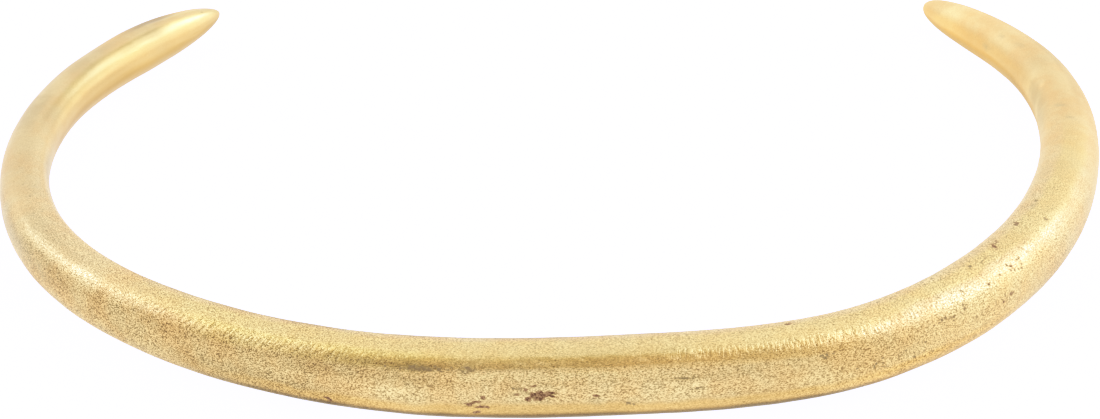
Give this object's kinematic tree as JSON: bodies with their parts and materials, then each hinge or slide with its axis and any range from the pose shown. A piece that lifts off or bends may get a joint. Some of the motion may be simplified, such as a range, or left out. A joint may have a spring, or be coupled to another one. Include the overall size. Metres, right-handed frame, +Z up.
{
  "type": "open bracelet",
  "caption": "Ancient open bangle lying flat: a C-shaped gilded bar, squarish and thick across the front, tapering along both arms to blunt tips, so that it slips onto a wrist from the side.",
  "frame": {"origin": "under the middle of the outline, on the surface that the bracelet lies on", "axes": "+X from the left arm to the right arm, the longest extent; +Y from the thick front to the gap between the tips; +Z up, the bar's thickness"},
  "size_m": [0.07, 0.053, 0.0045],
  "materials": {
    "gilding": "matt pale gold, finely granular across the front and smoother along the arms, with a few brown corrosion pits"
  },
  "bodies": {
    "root": {"bracelet": "gilding"}
  },
  "joints": []
}
